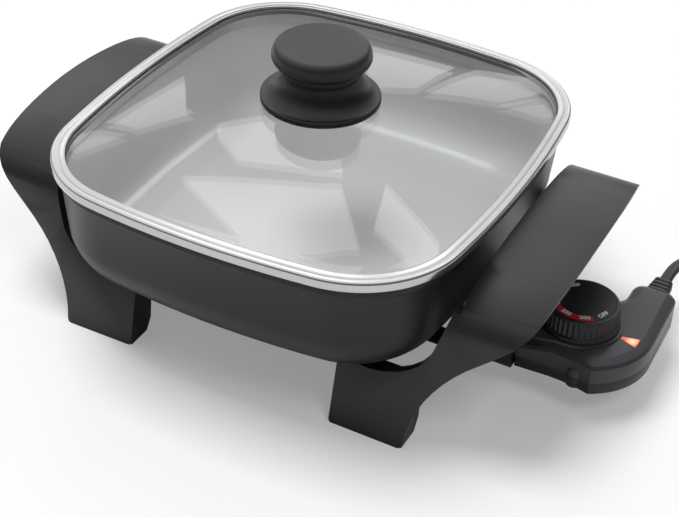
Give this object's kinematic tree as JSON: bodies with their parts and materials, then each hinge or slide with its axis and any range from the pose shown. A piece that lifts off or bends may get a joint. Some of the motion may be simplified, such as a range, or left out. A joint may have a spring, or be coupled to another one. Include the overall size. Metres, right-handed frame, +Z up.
{
  "type": "electric skillet",
  "caption": "Electric skillet: bulged square pan on leg handles, lift-off glass lid with centre knob, plug-in heat control with dial, lamp and cord.",
  "frame": {"origin": "bottom centre of the skillet's box without its cord, on the surface it stands on", "axes": "+X from the left grip towards the heat control, +Y to the back, +Z up"},
  "size_m": [0.436, 0.349, 0.1403],
  "materials": {
    "pan_enamel": "semi-gloss black outside, grey ceramic coating inside",
    "cast_aluminium": "as cast",
    "element_steel": "dull",
    "ceramic_white": "matt",
    "plated_steel": "satin",
    "guard_plastic": "matt black",
    "handle_plastic": "satin black phenolic",
    "lid_glass": "clear tempered",
    "ring_steel": "bright stainless",
    "knob_plastic": "satin black phenolic",
    "knob_cap_plastic": "matt dark grey",
    "seal_rubber": "matt",
    "case_plastic": "satin black",
    "case_top_plastic": "satin slate black",
    "lens_plastic": "translucent orange",
    "lamp_glass": "clear neon bulb",
    "block_ceramic": "matt",
    "contact_brass": "bright",
    "relief_plastic": "soft black",
    "dial_plastic": "satin black with a printed scale",
    "dial_print": "black with white numbers",
    "cord_sheath": "soft black"
  },
  "bodies": {
    "base": {"pan": "pan_enamel", "heater_plate": "cast_aluminium", "heating_element": "element_steel", "terminal_insulators": "ceramic_white", "terminal_pins": "plated_steel", "pin_washers": "ceramic_white", "terminal_guard": "guard_plastic", "guard_screws": "plated_steel", "left_handle": "handle_plastic", "right_handle": "handle_plastic", "handle_screws": "plated_steel"},
    "lid": {"lid_glass": "lid_glass", "lid_ring": "ring_steel", "knob_base": "knob_plastic", "knob_cap": "knob_cap_plastic", "knob_washer": "seal_rubber", "knob_screw": "plated_steel"},
    "control": {"control_lower_case": "case_plastic", "control_upper_case": "case_top_plastic", "indicator_lens": "lens_plastic", "indicator_lamp": "lamp_glass", "thermostat_block": "block_ceramic", "contact_leaves": "contact_brass", "sensing_probe": "plated_steel", "contact_sleeves": "contact_brass", "case_screws": "plated_steel", "strain_relief": "relief_plastic", "cord": "cord_sheath", "cord_coil": "cord_sheath", "cord_tie": "cord_sheath", "plug_body": "cord_sheath", "plug_blades": "contact_brass"},
    "dial": {"dial_knob": "dial_plastic", "dial_plate": "dial_print", "dial_shaft": "plated_steel"}
  },
  "joints": [
    {"name": "lid_lift", "type": "slide", "parent": "base", "child": "lid", "axis": [0, 0, 1], "range_m": [0, 0.12]},
    {"name": "control_pull", "type": "slide", "parent": "base", "child": "control", "axis": [1, 0, 0], "range_m": [0, 0.06]},
    {"name": "dial_turn", "type": "hinge", "parent": "control", "child": "dial", "pos_m": [0.1253, 0, 0.042], "axis": [0, 0, 1], "range_deg": [0, 270]}
  ]
}
